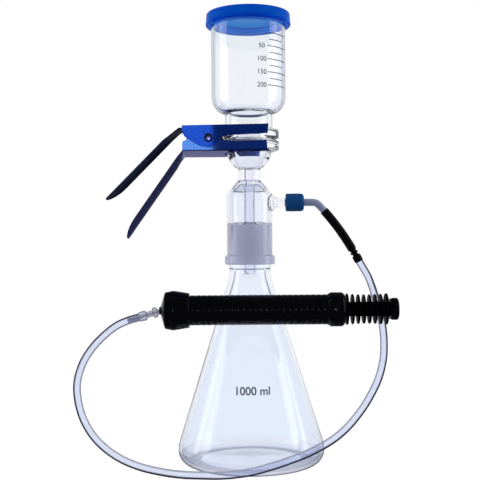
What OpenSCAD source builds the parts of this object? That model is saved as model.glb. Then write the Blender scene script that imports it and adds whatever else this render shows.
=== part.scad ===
// Vacuum filtration unit: an Erlenmeyer flask with a ground joint, a glass filter base with a side arm,
// a clamped glass funnel with a press-on lid, and a hand vacuum pump on a clear hose.
// Millimetres, +Z up. Origin: centre of the flask's foot, on the bench. +X runs towards the side arm,
// and the pump lies across the front, at -Y.

/* [Flask] */
// Radius at the widest part of the flask
flask_r = 69.7; // [60:0.1:80]
// Radius of the rounding between the foot and the wall
flask_corner_r = 13; // [6:0.5:14]
// Slope of the cone's wall from the vertical, in degrees
cone_angle = 17.3; // [14:0.1:20]
// Outer radius of the neck
neck_r = 19.4; // [17:0.1:22]
// Radius of the neck's bore
neck_bore_r = 15; // [12:0.1:17]
// Wall of the flask at its foot
flask_wall = 3; // [2:0.1:4]
// Height of the flask's rim
flask_h = 230; // [200:1:260]

/* [Ground joint] */
// Radius of the ground cone at its wide end
joint_r = 20; // [15:0.1:25]
// Height of the ground cone's wide end
joint_z = 186; // [170:1:200]
// Height where the socket's ground face ends
socket_top_z = 227.5; // [210:0.5:240]
// Clearance between cone and socket, on the radius
joint_gap = 0.02; // [0.01:0.01:0.1]

/* [Filter base] */
// Outer radius of the socket's shell
shell_r = 21.8; // [20:0.1:26]
// Outer radius of the bead at the socket's mouth
bead_r = 24; // [22:0.1:28]
// Outer radius of the stem
stem_r = 10.7; // [8:0.1:14]
// Radius of the bore through stem and drip tube
drip_bore_r = 4.1; // [3:0.1:6]
// Outer radius of the drip tube
drip_r = 5.3; // [4:0.1:7]
// Height of the drip tube's tip
drip_tip_z = 180; // [150:1:190]
// Outer radius of the bowl under the flange
bowl_r = 21.5; // [18:0.1:25]
// Outer radius of the two flanges
flange_r = 28.8; // [25:0.1:35]
// Height of the filter base's top face
seat_z = 309; // [300:0.1:320]
// Height of the side arm's centre
side_arm_z = 248.9; // [240:0.1:256]

/* [Funnel and lid] */
// Outer radius of the funnel's body
funnel_r = 35.6; // [30:0.1:45]
// Wall of the funnel
funnel_wall = 2; // [1.5:0.1:3]
// Radius of the funnel's outlet
outlet_r = 18.3; // [15:0.1:20]
// Outer radius of the funnel's neck
funnel_neck_r = 22.7; // [20:0.1:26]
// Height of the funnel's rim
funnel_top_z = 422.7; // [400:0.1:440]
// Outer radius of the lid
lid_r = 40.8; // [38:0.1:46]
// Height of the lid's top
lid_top_z = 430; // [425:0.1:440]

/* [Clamp] */
// Place of the clamp's pivot along X
pivot_x = -37.9; // [-40:0.1:-36]
// Height of the clamp's pivot
pivot_z = 308; // [300:0.1:315]
// Thickness of the clamp's sheet
sheet = 1.5; // [1:0.1:2.5]
// Width of the handles
handle_w = 41; // [36:1:50]

/* [Vacuum line] */
// Outer radius of the screw cap
cap_r = 8.5; // [8:0.1:11]
// Outer radius of the nozzle
nozzle_r = 3.5; // [2.5:0.1:4]
// Outer radius of the rubber sleeve
sleeve_r = 4.2; // [3.5:0.05:5]
// Outer diameter of the hose
hose_d = 7.2; // [5:0.1:10]

/* [Pump] */
// Distance of the pump's axis in front of the flask's axis
pump_y = -48; // [-60:1:-46]
// Height of the pump's axis
pump_z = 149.2; // [140:0.1:160]
// Outer radius of the barrel
barrel_r = 13.6; // [12:0.1:16]
// Radius of the barrel's bore
bore_r = 11; // [9:0.1:12]
// Radius of the piston rod
rod_r = 4; // [3:0.1:5]
// Clearance of the rod and the piston seal, on the radius
running_gap = 0.05; // [0.02:0.01:0.1]

/* [Hidden] */
$fn = 96;
moving_gap = 0.3;      // between pieces that pass each other without touching
ground_taper = 1 / 20; // of the radius, per millimetre of height

// The hose's centre line, from the coupler under the side arm to the barbed connector at the pump.
hose_route = [
    [105.1, 0, 191.8], [109, 0, 185], [113, -2, 177.5], [116, -7, 168], [118.5, -13, 157.5],
    [121.5, -19, 145], [123.5, -23, 131], [124, -27, 116], [122.5, -30, 100], [117, -34, 82.5],
    [107, -39, 65], [97, -43, 52], [85, -48, 40], [70, -54, 30], [51, -62, 22],
    [33, -68, 16.5], [15, -73, 12], [-3, -75, 8], [-25, -73, 5], [-47, -68, 4],
    [-65, -63, 3.8], [-83, -57, 5], [-102, -52, 8.5], [-120, -49, 15.5], [-135, -48, 26],
    [-146, -48, 38.5], [-154, -48, 54], [-158, -48, 71], [-158, -48, 86], [-153, -48, 102],
    [-144.5, -48, 115.5], [-133.5, -48, 127], [-122.5, -48, 135.5], [-112, -48, 140.3], [-101.2, -48, 143.4]
];

// Colours
glass_colour = [0.82, 0.88, 0.95, 0.45];
blue_lid = [0.02, 0.12, 0.55];
anodised_blue = [0.1, 0.2, 0.6];
steel = [0.6, 0.6, 0.62];
petrol_blue = [0.1, 0.35, 0.55];
nozzle_grey = [0.6, 0.6, 0.68];
black = [0.06, 0.06, 0.07];
clear_plastic = [0.85, 0.88, 0.95, 0.6];

// ---- Outlines and shared shapes ----

// Points along an arc in an outline, with separate radii for the two directions if wanted.
function arc(cx, cy, r, from, to, ry = undef, steps = 10) = [
    for (i = [0:steps])
        let (a = from + (to - from) * i / steps, r2 = is_undef(ry) ? r : ry)
            [cx + r * cos(a), cy + r2 * sin(a)]
];

// A solid turned about the Z axis, from [radius, height] points.
module lathe(outline) rotate_extrude() polygon(outline);

// A solid turned about the X axis, from [x, radius] points.
module turned(outline) rotate([0, 90, 0]) rotate_extrude() polygon([for (p = outline) [p[1], p[0]]]);

// A profile in the X-Z plane, extruded by w about the plane at y.
module across(w, y = 0) translate([0, y, 0]) rotate([90, 0, 0]) linear_extrude(w, center = true) children();

// Local +Z along a line in an X-Z plane that falls by a degrees towards +X.
module falling(x, z, a) translate([x, 0, z]) rotate([0, 90 + a, 0]) children();

// Children in the pump's own axis: X along the barrel, origin on the flask's axis plane.
module on_pump() translate([0, pump_y, pump_z]) children();

function unit(v) = v / norm(v);
function heading(path, i) = unit(path[min(i + 1, len(path) - 1)] - path[max(i - 1, 0)]);

// A solid through rings of points, each ring a turn about the way ahead. A flat end closes as a ladder, with
// rungs from each point to its opposite one.
module through_rings(rings, sides) {
    last = len(rings) / sides - 1;
    function at(i, k) = i * sides + k % sides;
    function rung(i, k) = [at(i, k), at(i, k + 1), at(i, sides - 1 - k)];
    function next_rung(i, k) = [at(i, k + 1), at(i, sides - 2 - k), at(i, sides - 1 - k)];
    function turned_round(face) = [face[2], face[1], face[0]];
    polyhedron(rings, concat(
        [for (i = [0:last - 1]) for (k = [0:sides - 1]) [at(i, k), at(i + 1, k), at(i + 1, k + 1)]],
        [for (i = [0:last - 1]) for (k = [0:sides - 1]) [at(i, k), at(i + 1, k + 1), at(i, k + 1)]],
        [for (k = [0:sides / 2 - 2]) for (face = [rung(0, k), next_rung(0, k)]) face],
        [for (k = [0:sides / 2 - 2]) for (face = [rung(last, k), next_rung(last, k)]) turned_round(face)]
    ));
}

// A round rod of radius r along a path that never runs parallel to Y.
module rod_along(path, r, sides) through_rings([
    for (i = [0:len(path) - 1])
        let (t = heading(path, i), u = unit(cross(t, [0, 1, 0])), v = cross(t, u))
            for (k = [0:sides - 1]) path[i] + r * (u * cos(360 * k / sides) + v * sin(360 * k / sides))
], sides);

// ---- Flask ----

function ground_cone_r(z) = joint_r - (z - joint_z) * ground_taper;

// The hip is a wide arc between the foot's rounding and the cone.
hip_radius = 30.5;
neck_fillet = 30;
foot_rise = 3.5;
cone_start_r = flask_r - hip_radius * (1 - cos(cone_angle));
cone_start_z = flask_corner_r + hip_radius * sin(cone_angle);
fillet_low_r = neck_r + neck_fillet * (1 - cos(cone_angle));
neck_start_z = cone_start_z + (cone_start_r - fillet_low_r) / tan(cone_angle) + neck_fillet * sin(cone_angle);
rim_r = (ground_cone_r(flask_h) - neck_bore_r) / 2;

module flask() color(glass_colour) lathe(concat(
    [[0, foot_rise], [48, 0]],
    arc(flask_r - flask_corner_r, flask_corner_r, flask_corner_r, -90, 0),
    arc(flask_r - hip_radius, flask_corner_r, hip_radius, 0, cone_angle, steps = 6),
    arc(neck_r + neck_fillet, neck_start_z, neck_fillet, 180 + cone_angle, 180, steps = 6),
    [[neck_r, joint_z - 1], [joint_r, joint_z]],
    arc(neck_bore_r + rim_r, flask_h - rim_r, rim_r, 0, 180),
    arc(neck_r + neck_fillet, neck_start_z, neck_r + neck_fillet - neck_bore_r, 180, 180 + cone_angle, steps = 6),
    arc(flask_r - hip_radius, flask_corner_r, hip_radius - flask_wall, cone_angle, 0, steps = 6),
    arc(flask_r - flask_corner_r, flask_corner_r, flask_corner_r - flask_wall, 0, -90),
    [[48, flask_wall], [0, foot_rise + flask_wall]]
));

// ---- Filter base: one piece of blown glass ----

bead_z = 189.6;        // underside of the bead
shell_top_z = 253.5;   // where the shoulder starts
base_shoulder_r = 11;  // its rounding
base_shoulder_end = 54; // its share of a full turn, in degrees
bowl_z = 300;          // centre of the bowl's sphere
stub_end_x = 46.5;     // end of the threaded stub
shell_wall = 2;
frit_r = 19;
frit_t = 4.2;
flange_rim_z = 299.4;  // underside of the lower flange at its rim
flange_chamfer_r = 25;
flange_edge = 1.8;     // what the chamfer takes off the rim's height

module filter_base() color(glass_colour) {
    shoulder_cx = shell_r - base_shoulder_r;
    shoulder = arc(shoulder_cx, shell_top_z, base_shoulder_r, 0, base_shoulder_end, steps = 8);
    shoulder_inside = arc(shoulder_cx, shell_top_z, base_shoulder_r - shell_wall, 0, base_shoulder_end, steps = 8);
    bowl = arc(0, bowl_z, bowl_r, -56, -9);
    cup_r = 17.3;
    cup = arc(0, bowl_z, bowl_r - 2.5, -asin(cup_r / (bowl_r - 2.5)) + 10, -77.5, steps = 8);
    difference() {
        union() {
            lathe(concat(
                [[0, bead_z]],
                arc(bead_r - 1.8, bead_z + 1.8, 1.8, -90, 0, steps = 4),
                arc(bead_r - 1.4, bead_z + 7.7, 1.4, 0, 90, steps = 4),
                [[shell_r, bead_z + 9.6]],
                shoulder,
                [[11.9, 268.8], [stem_r, 270.4], [stem_r, 280]],
                bowl,
                [[flange_r - 0.5, flange_rim_z - 0.6], [flange_r, flange_rim_z], [flange_r, seat_z - flange_edge]],
                [[flange_chamfer_r, seat_z], [0, seat_z]]
            ));
            translate([0, 0, drip_tip_z]) cylinder(r = drip_r, h = 20);
            translate([0, 0, side_arm_z]) turned([
                [19.8, 0], [19.8, 9], [21.9, 8.4], [23, 6.8], [24.8, 5.2], [27, 4.2], [29, 4], [34, 4],
                [35.4, 6.2], [38, 6.2], [38.4, 6.9], [39.2, 6.9], [39.6, 6.2], [41, 6.2], [41.4, 6.9],
                [42.2, 6.9], [42.6, 6.2], [46, 6.2], [stub_end_x, 5.7], [stub_end_x, 0]
            ]);
        }
        // Space between the drip tube and the shell, open at the socket.
        lathe(concat(
            [[drip_r, bead_z - 1], [ground_cone_r(bead_z - 1) + joint_gap, bead_z - 1]],
            [[ground_cone_r(socket_top_z) + joint_gap, socket_top_z], [shell_r - shell_wall, socket_top_z + 2]],
            shoulder_inside,
            [[9.5, 266.3], [7, 266.7], [drip_r, 265.3]]
        ));
        // Cup under the filter, and the bore down to the tip.
        lathe(concat(
            [[0, drip_tip_z - 1], [0, seat_z + 1], [frit_r, seat_z + 1], [frit_r, seat_z - frit_t]],
            [[cup_r, seat_z - frit_t], [cup_r, bowl_z - 7.8]],
            cup,
            [[drip_bore_r, 281.4], [drip_bore_r, drip_tip_z - 1]]
        ));
        translate([14, 0, side_arm_z]) rotate([0, 90, 0]) cylinder(r = 2.6, h = 40);
        // The tip is ground off at a slant.
        translate([0, 0, drip_tip_z]) rotate([0, 35, 0]) translate([-15, -15, -12]) cube([30, 30, 12]);
    }
}

module frit_disc() color([0.93, 0.94, 0.95]) translate([0, 0, seat_z - frit_t])
    cylinder(r = frit_r, h = frit_t);

membrane_t = 0.2;
membrane_r = 23.5;
module membrane_filter() color("white") translate([0, 0, seat_z]) cylinder(r = membrane_r, h = membrane_t);

// ---- Funnel, its printed scale, and the lid ----

funnel_foot_z = seat_z + membrane_t;
funnel_flange_top_z = 318.3;
shoulder_z = 351;      // where the shoulder turns into the straight body
shoulder_cr = 22.4;    // centre of the shoulder's elliptic section
shoulder_h = 16.8;
neck_foot_r = 1.8;     // fillet between the funnel's neck and flange

module funnel() color(glass_colour) lathe(concat(
    [[outlet_r, funnel_foot_z], [flange_chamfer_r, funnel_foot_z], [flange_r, funnel_foot_z + flange_edge]],
    arc(flange_r - 1.4, funnel_flange_top_z - 1.4, 1.4, 0, 90, steps = 4),
    arc(funnel_neck_r + neck_foot_r, funnel_flange_top_z + neck_foot_r, neck_foot_r, 270, 180, steps = 4),
    [[funnel_neck_r, 333]],
    arc(shoulder_cr, shoulder_z, funnel_r - shoulder_cr, -85, 0, ry = shoulder_h),
    arc(funnel_r - funnel_wall / 2, funnel_top_z - funnel_wall / 2, funnel_wall / 2, 0, 180, steps = 6),
    arc(shoulder_cr, shoulder_z, funnel_r - funnel_wall - shoulder_cr, 0, -88, ry = shoulder_h - funnel_wall),
    [[outlet_r + 0.8, 335.9], [outlet_r, 335]]
));

// Nine rings of print, every 25 ml, counted down from the top. Every second one is long.
scale_top_z = 405.2;
scale_step = 6.06;
print_t = 0.1;
print_w = 0.7;
module graduation_marks() color([0.1, 0.1, 0.15]) for (i = [0:8]) {
    long_mark = i % 2 == 0;
    start = long_mark ? -60 : -57;
    end = long_mark ? -17 : -28;
    translate([0, 0, scale_top_z - i * scale_step]) rotate([0, 0, start])
        rotate_extrude(angle = end - start) translate([funnel_r, -print_w / 2]) square([print_t, print_w]);
}

// The lid's skirt goes over the funnel's rim, and its plug goes inside.
lid_foot_z = 417.8;
lid_plate_z = 423;     // underside of the lid's plate
module lid() color(blue_lid) lathe(concat(
    [[0, lid_plate_z], [28.5, lid_plate_z], [28.5, lid_foot_z]],
    arc(32.2, lid_foot_z + 1, 1, -90, 0, steps = 4),
    [[33.2, lid_plate_z], [36.1, lid_plate_z], [36.1, lid_foot_z + 0.4], [36.5, lid_foot_z]],
    arc(lid_r - 2, lid_foot_z + 2, 2, -90, 0, steps = 6),
    arc(lid_r - 2.6, lid_top_z - 2, 2, 0, 90, steps = 6),
    [[0, lid_top_z]]
));

// ---- Clamp: two stamped levers on a pin, with a spring ----

wall_t = sheet - 0.1;  // the side walls are drawn a little thinner than the plates
lower_wall_y = 29.2;   // inner face of the lower lever's side walls
upper_wall_y = lower_wall_y + wall_t + moving_gap; // inner face of the upper lever's side walls
upper_tilt = 0.8;      // the upper lever rests open by this angle over the flanges
upper_plate_z = 318.4; // underside of the upper plate before the tilt
lower_plate_z = 295.9; // underside of the lower plate
lever_back_x = -62.3;
lever_front_x = 18;
pin_r = 2.3;

// The way to the left of a path in profile at its point i, as long as an even thickness needs in a bend.
function mitre(path, i) =
    let (
        into = unit(path[max(i, 1)] - path[max(i, 1) - 1]),
        out = unit(path[min(i + 1, len(path) - 1)] - path[min(i + 1, len(path) - 1) - 1]),
        middle = unit([-into[1] - out[1], into[0] + out[0]])
    )
        middle / (middle * [-into[1], into[0]]);

// A handle in one piece with its plate. The sheet leaves the plate's rear edge flat, at the half width neck_w,
// and bends down at the elbow. From the knee it falls by a degrees towards -X, arched across its width, and its
// end is a half circle. A negative arch bulges up, and a positive one down.
module handle(elbow, knee, a, length, neck_w, arch) {
    half_w = handle_w / 2;
    straight = length - half_w;
    blade = -[cos(a), sin(a)];
    // Each station along the sheet has a place, a half width and an arch.
    stations = concat(
        [[[lever_back_x + 2, elbow[1]], neck_w, 0]],
        [for (t = [0:0.25:1]) [elbow + t * (knee - elbow), neck_w + t * (half_w - neck_w), t * arch]],
        [for (t = [0.25:0.25:0.75]) [knee + t * straight * blade, half_w, arch]],
        [for (b = [0:12:84]) [knee + (straight + half_w * sin(b)) * blade, half_w * cos(b), arch]]
    );
    path = [for (station = stations) station[0]];
    across = 4; // points on each half of the width
    through_rings([
        for (i = [0:len(stations) - 1]) for (face = [-1, 1]) for (k = [-across:across])
            let (
                y = -face * stations[i][1] * k / across,
                rise = stations[i][2] * (1 - pow(y / half_w, 2)) + face * sheet / 2,
                point = path[i] + rise * mitre(path, i)
            )
                [point[0], y, point[1]]
    ], 2 * (2 * across + 1));
}

// The plate of a jaw, forked round a glass neck of radius slot_r.
module fork_plate(z, half_w, slot_r) translate([0, 0, z]) linear_extrude(sheet) difference() {
    translate([lever_back_x, -half_w]) square([lever_front_x - lever_back_x, 2 * half_w]);
    circle(slot_r);
    translate([0, -slot_r]) square([50, 2 * slot_r]);
}

module side_walls(inner_y) for (side = [-1, 1]) across(wall_t, side * (inner_y + wall_t / 2)) children();

module pivot_hole(r) translate([pivot_x, 0, pivot_z]) rotate([90, 0, 0])
    cylinder(r = r, h = 100, center = true);

module clamp_upper_lever() color(anodised_blue) {
    plate_top = upper_plate_z + sheet;
    translate([pivot_x, 0, pivot_z]) rotate([0, -upper_tilt, 0]) translate([-pivot_x, 0, -pivot_z]) difference() {
        union() {
            fork_plate(upper_plate_z, upper_wall_y + wall_t, 24.6);
            side_walls(upper_wall_y) {
                polygon([
                    [lever_back_x, plate_top], [lever_front_x, plate_top], [lever_front_x - 0.8, 311.2],
                    [-23, 309.8], [-27, 308.2], [-31.5, 303.5], [-38.2, 299.3], [-43.8, 300.1], [-48, 301.9],
                    [-52, 304.3], [-56.1, 307], [-59.9, 309.4], [-61.5, 312.2]
                ]);
                translate([pivot_x, pivot_z]) circle(8.8);
            }
            handle([-66, upper_plate_z + sheet / 2], [-80, 307.2], 44.4, 78.6, 16, -2.9);
        }
        pivot_hole(pin_r + running_gap);
    }
}

module clamp_lower_lever() color(anodised_blue) difference() {
    union() {
        fork_plate(lower_plate_z, lower_wall_y + wall_t, 23.6);
        side_walls(lower_wall_y) {
            polygon([
                [lever_back_x, lower_plate_z], [lever_front_x - 1, lower_plate_z], [lever_front_x - 1.8, 305.8],
                [-22.9, 304.8], [-33.5, 312], [-47, 312.4], [-58, 306.4], [-61.4, 305.2], [lever_back_x, 303.4]
            ]);
            translate([pivot_x, pivot_z]) circle(7.4);
        }
        handle([lever_back_x, lower_plate_z + sheet / 2], [-72, 284.8], 54.8, 82.5, 24, 3.2);
    }
    pivot_hole(pin_r);
}

washer_y = upper_wall_y + wall_t + moving_gap; // inner face of the pin's washers
washer_t = 0.8;
module clamp_pin() color(steel) translate([pivot_x, 0, pivot_z]) rotate([90, 0, 0])
    cylinder(r = pin_r, h = 2 * (washer_y + washer_t) + 1, center = true);

module pin_washers() color(black) for (side = [-1, 1])
    translate([pivot_x, side * (washer_y + washer_t / 2), pivot_z]) rotate([90, 0, 0]) difference() {
        cylinder(r = 4, h = washer_t, center = true);
        cylinder(r = pin_r, h = 2 * washer_t, center = true);
    }

// Torsion spring round the pin. One leg lies on the lower plate. The other stops short of the upper plate,
// where the squeezed handles bring that plate down to.
module clamp_spring() color(steel) {
    coil_r = 4.4;
    wire_r = 0.7;
    turns = 6.45;
    pitch = 2;
    steps = 14;
    from = 287; // the low leg meets the coil here, and the high leg leaves it at its top
    coil = [
        for (i = [0:turns * steps])
            let (a = from + 360 * i / steps)
                [pivot_x + coil_r * cos(a), (i / steps - turns / 2) * pitch, pivot_z + coil_r * sin(a)]
    ];
    low_leg = [pivot_x - 16.7, -turns / 2 * pitch - 0.5, lower_plate_z + sheet + wire_r + 0.1];
    high_leg = [pivot_x - 11.7, turns / 2 * pitch + 0.5, 312.2];
    rod_along(concat([low_leg], coil, [high_leg]), wire_r, 8);
}

// ---- Vacuum line from the side arm to the pump ----

cap_x = 34.8;          // mouth of the screw cap
cap_end_x = 52.2;      // closed end of the screw cap
seal_t = 1.5;
nozzle_flange_t = 1.5;
cap_wall = cap_end_x - stub_end_x - seal_t - nozzle_flange_t - moving_gap;

module screw_cap() color(petrol_blue) translate([0, 0, side_arm_z]) {
    inside_x = cap_end_x - cap_wall;
    turned(concat(
        [[cap_x + 0.3, 7.2], [cap_x, 7.5]],
        arc(cap_x + 0.9, cap_r - 0.9, 0.9, 180, 90, steps = 4),
        [[(cap_x + cap_end_x) / 2, cap_r + 0.15]],
        arc(cap_end_x - 3, cap_r - 3, 3, 90, 0, steps = 6),
        [[cap_end_x, nozzle_r + moving_gap], [inside_x, nozzle_r + moving_gap], [inside_x, 7.2]]
    ));
}

module cap_seal() color([0.75, 0.3, 0.2]) translate([0, 0, side_arm_z])
    turned([[stub_end_x, 2.6], [stub_end_x, 6.4], [stub_end_x + seal_t, 6.4], [stub_end_x + seal_t, 2.6]]);

bend_x = 60.3;         // start of the nozzle's bend
bend_r = 9;
bend_angle = 48.5;
nozzle_run = 6.76;     // straight stretch after the bend
spigot_r = 2.3;
sleeve_curve_r = 230;
sleeve_end_angle = 60;
sleeve_start = [
    bend_x + bend_r * sin(bend_angle) + nozzle_run * cos(bend_angle),
    side_arm_z - bend_r * (1 - cos(bend_angle)) - nozzle_run * sin(bend_angle)
];
sleeve_centre = sleeve_start - sleeve_curve_r * [sin(bend_angle), cos(bend_angle)];
sleeve_end = sleeve_centre + sleeve_curve_r * [sin(sleeve_end_angle), cos(sleeve_end_angle)];

// A ring segment in the X-Z plane. Its path falls by from..to degrees, about the centre c.
module bend(c, r, from, to) translate([c[0], 0, c[1]]) rotate([90, 0, 0]) rotate([0, 0, 90 - to])
    rotate_extrude(angle = to - from) translate([r, 0]) children();

// A clear plastic tube with a flange for the cap, a bend, and a spigot for the sleeve.
module elbow_nozzle() color(nozzle_grey) {
    flange_x = stub_end_x + seal_t;
    tube_bore_r = 1.7;
    bend_steps = 8;
    path = concat(
        [[flange_x, 0, side_arm_z]],
        [
            for (i = [0:bend_steps])
                let (a = bend_angle * i / bend_steps)
                    [bend_x + bend_r * sin(a), 0, side_arm_z - bend_r * (1 - cos(a))]
        ],
        [[sleeve_start[0], 0, sleeve_start[1]]]
    );
    difference() {
        union() {
            rod_along(path, nozzle_r, 24);
            translate([flange_x, 0, side_arm_z]) rotate([0, 90, 0]) cylinder(r = 6.4, h = nozzle_flange_t);
            falling(sleeve_start[0], sleeve_start[1], bend_angle) translate([0, 0, -2])
                cylinder(r = spigot_r, h = 10);
        }
        rod_along(path, tube_bore_r, 12);
        translate([flange_x - 1, 0, side_arm_z]) rotate([0, 90, 0]) cylinder(r = tube_bore_r, h = 2);
        falling(sleeve_start[0], sleeve_start[1], bend_angle) translate([0, 0, -1])
            cylinder(r = tube_bore_r, h = 10);
    }
}

module rubber_sleeve() color(black)
bend(sleeve_centre, sleeve_curve_r, bend_angle, sleeve_end_angle) difference() {
    circle(sleeve_r);
    circle(2.6);
}

coupler_length = 13.4;
module hose_coupler() color(black) falling(sleeve_end[0], sleeve_end[1], sleeve_end_angle) lathe([
    [1.4, -8], [spigot_r, -8], [spigot_r, 0], [3.4, 0], [3.4, 1.6], [2.7, 1.6], [2.7, 2.6], [3.8, 2.6],
    [3.8, 4.4], [2.7, 4.4], [2.7, 6], [4.3, 7.2], [4.3, 12], [3.7, coupler_length], [1.4, coupler_length]
]);

module vacuum_hose() color(clear_plastic) rod_along(hose_route, hose_d / 2, 12);

// The two clear fittings share an axis that rises towards the pump.
fitting_tilt = 16;
fitting_x = -83.9;
fitting_z = 148.4;
ring_s = 11.3;         // where the connector starts, along that axis from the pump
hose_end_s = 18;       // where the hose ends
module on_fitting() translate([fitting_x, pump_y, fitting_z]) rotate([0, -90 - fitting_tilt, 0]) children();

module barb_connector() color(clear_plastic) on_fitting() lathe([
    [1.2, ring_s], [4.1, ring_s], [4.6, ring_s + 1], [4.6, 15], [4.3, hose_end_s], [2.3, hose_end_s],
    [2.3, 19.5], [2.9, 20.2], [2.3, 23], [2.9, 23.7], [2.3, 26.5], [2.8, 27], [2, 29.3], [1.2, 29.3]
]);

module luer_hub() color(clear_plastic) on_fitting() lathe([
    [1, -4.5], [1.6, -4.5], [1.6, 0], [3, 0], [3, 1], [4.8, 1.6], [4.8, 4.6], [2.9, 5.4], [2.7, ring_s],
    [1, ring_s]
]);

// ---- Hand pump: barrel with a piston, drawn out by the finned grip ----

nose_x = -83.2;        // front face of the inlet nub
barrel_x = -72;        // front end of the barrel
barrel_end_x = 80;     // rear end of the barrel
collar_end_x = 84.9;   // rear face of the collar
head_x = -68;          // front face of the piston at rest
head_length = 10;
grip_x = collar_end_x + moving_gap;
grip_end_x = 126.3;
knob_end_x = 134.1;
core_r = 6.6;          // the grip between its fins

module pump_nose_cap() color(black) difference() {
    on_pump() turned(concat(
        [[nose_x, 0], [nose_x, 3.2], [-81.8, 3.9], [-78.3, 15.6], [-77.4, 16.8]],
        arc(-69.5, 15.4, 6.6, 135, 90, ry = 2.6, steps = 5),
        [[-56.3, 15.8], [-55.6, 15.1], [-55.6, barrel_r], [barrel_x, barrel_r], [barrel_x, 3.9]],
        [[barrel_x - 1.6, 3.9], [barrel_x - 1.6, 0]]
    ));
    on_fitting() translate([0, 0, -7]) cylinder(r = 1.6, h = 8);
    on_pump() translate([-80, 0, 0]) rotate([0, 90, 0]) cylinder(r = 1.2, h = 10);
}

module inlet_valve() color([0.5, 0.2, 0.15]) on_pump() translate([barrel_x - 1.4, 0, 0]) rotate([0, 90, 0])
    cylinder(r = 3.6, h = 1.4);

// The barrel has shallow ribs along its whole bare length.
module pump_barrel() color(black) on_pump() {
    rib_pitch = 5.2;
    rib_count = 24;
    turned(concat(
        [[barrel_x, 1.5], [barrel_x, barrel_r - 0.1], [-55.6, barrel_r - 0.1]],
        [
            for (i = [0:rib_count - 1])
                let (x = -55 + i * rib_pitch)
                    for (p = [[0, -0.25], [0.8, 0.1], [4, 0.1], [4.8, -0.25]]) [x + p[0], barrel_r + p[1]]
        ],
        [[69.4, barrel_r - 0.1], [barrel_end_x, barrel_r - 0.1], [barrel_end_x, bore_r]],
        [[barrel_x + 3, bore_r], [barrel_x + 3, 1.5]]
    ));
}

module pump_collar() color(black) on_pump() turned([
    [69.6, barrel_r], [69.6, 13.9], [72.6, 15.6], [82.6, 15.6], [collar_end_x, 14], [collar_end_x, 7],
    [barrel_end_x, 7], [barrel_end_x, barrel_r]
]);

module rod_bush() color([0.3, 0.3, 0.32]) on_pump() turned([
    [74, rod_r + running_gap], [74, bore_r - 0.02], [barrel_end_x, bore_r - 0.02], [barrel_end_x, 6.98],
    [collar_end_x - 0.3, 6.98], [collar_end_x - 0.3, rod_r + running_gap]
]);

module piston_rod() color(steel) on_pump() turned([
    [head_x + 1, 0], [head_x + 1, 2.5], [head_x + head_length, 2.5], [head_x + head_length, rod_r],
    [grip_end_x, rod_r], [grip_end_x, 2.5], [grip_end_x + 5, 2.5], [grip_end_x + 5, 0]
]);

seal_wire_r = 1.3;
module piston_head() color([0.85, 0.85, 0.82]) on_pump() difference() {
    turned([
        [head_x, 0], [head_x, 10], [head_x + 0.5, 10.6], [head_x + head_length, 10.6], [head_x + head_length, 0]
    ]);
    translate([head_x + 1, 0, 0]) rotate([0, 90, 0]) cylinder(r = 2.5, h = head_length);
    turned([
        [head_x + 3.5, 8.3], [head_x + 3.5, 12], [head_x + 6.5, 12], [head_x + 6.5, 8.3]
    ]);
}

module piston_seal() color(black) on_pump() translate([head_x + 5, 0, 0]) rotate([0, 90, 0])
    rotate_extrude() translate([bore_r - running_gap - seal_wire_r, 0]) circle(seal_wire_r);

module pump_grip() color(black) on_pump() {
    fins = 8;
    first_x = grip_x + 2.05;
    pitch = 5.1;
    turned(concat(
        [[grip_x, rod_r], [grip_x, core_r]],
        [
            for (i = [0:fins - 1])
                let (x = first_x + i * pitch, tip_r = 13.3 + 0.9 * pow((i - 3.5) / 3.5, 2))
                    for (p = [[-1.1, core_r], [-0.9, tip_r - 0.4], [-0.55, tip_r], [0.55, tip_r], [0.9, tip_r - 0.4],
                              [1.1, core_r]]) [x + p[0], p[1]]
        ],
        [[grip_end_x, core_r], [grip_end_x, rod_r]]
    ));
}

module grip_knob() color(black) on_pump() difference() {
    turned([
        [grip_end_x, 0], [grip_end_x, 9.5], [grip_end_x + 1.5, 9.5], [grip_end_x + 2, 10.1],
        [knob_end_x - 1.4, 10.1], [knob_end_x - 0.4, 9.1], [knob_end_x, 6], [knob_end_x + 0.1, 0]
    ]);
    translate([grip_end_x, 0, 0]) rotate([0, 90, 0]) cylinder(r = 2.5, h = 5);
}

flask();
filter_base();
frit_disc();
membrane_filter();
funnel();
graduation_marks();
lid();
clamp_upper_lever();
clamp_lower_lever();
clamp_pin();
pin_washers();
clamp_spring();
screw_cap();
cap_seal();
elbow_nozzle();
rubber_sleeve();
hose_coupler();
vacuum_hose();
barb_connector();
luer_hub();
pump_nose_cap();
inlet_valve();
pump_barrel();
pump_collar();
rod_bush();
piston_rod();
piston_head();
piston_seal();
pump_grip();
grip_knob();
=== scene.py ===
"""Looks of the vacuum filtration unit: glass, clamp, hose, hand pump, lamps and camera.

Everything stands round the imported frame. Outlines are in millimetres in the frame's own axes, and
meshes are in metres. The origin is the centre of the flask's foot, +X runs to the side arm, and
the pump lies across the front, at -Y.
"""
from math import asin, cos, degrees, hypot, pi, radians, sin, tan

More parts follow.
